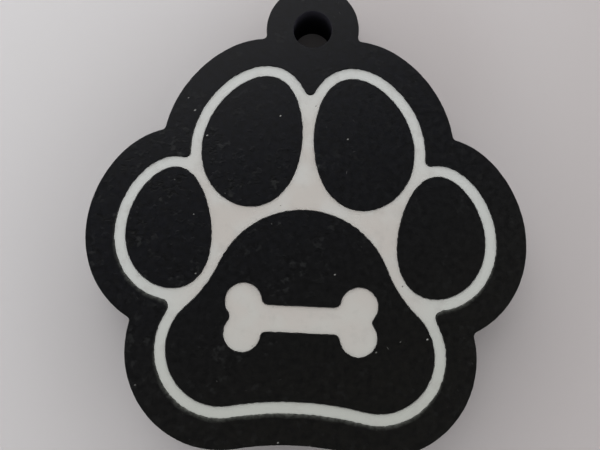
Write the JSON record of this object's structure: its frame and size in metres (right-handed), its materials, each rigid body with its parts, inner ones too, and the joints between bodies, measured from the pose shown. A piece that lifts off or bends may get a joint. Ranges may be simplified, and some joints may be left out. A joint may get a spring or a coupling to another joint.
{
  "type": "pet id tag",
  "caption": "Flat paw-shaped pet tag in black and white plastic, with a black border, black pads set into a white plate, a white bone in the main pad and a hanging loop with a ring hole.",
  "frame": {"origin": "centre of the ring hole, in the tag's flat back face", "axes": "+Z out of the patterned front face along the ring hole, +Y from the paw's heel towards the hanging loop, +X to the right seen from the front"},
  "size_m": [0.04, 0.043, 0.004],
  "materials": {
    "black_shell": "matte",
    "white_plate": "matte",
    "black_pads": "matte"
  },
  "bodies": {
    "root": {"back_shell": "black_shell", "paw_plate": "white_plate", "first_toe_pad": "black_pads", "second_toe_pad": "black_pads", "third_toe_pad": "black_pads", "fourth_toe_pad": "black_pads", "main_pad": "black_pads"}
  },
  "joints": []
}
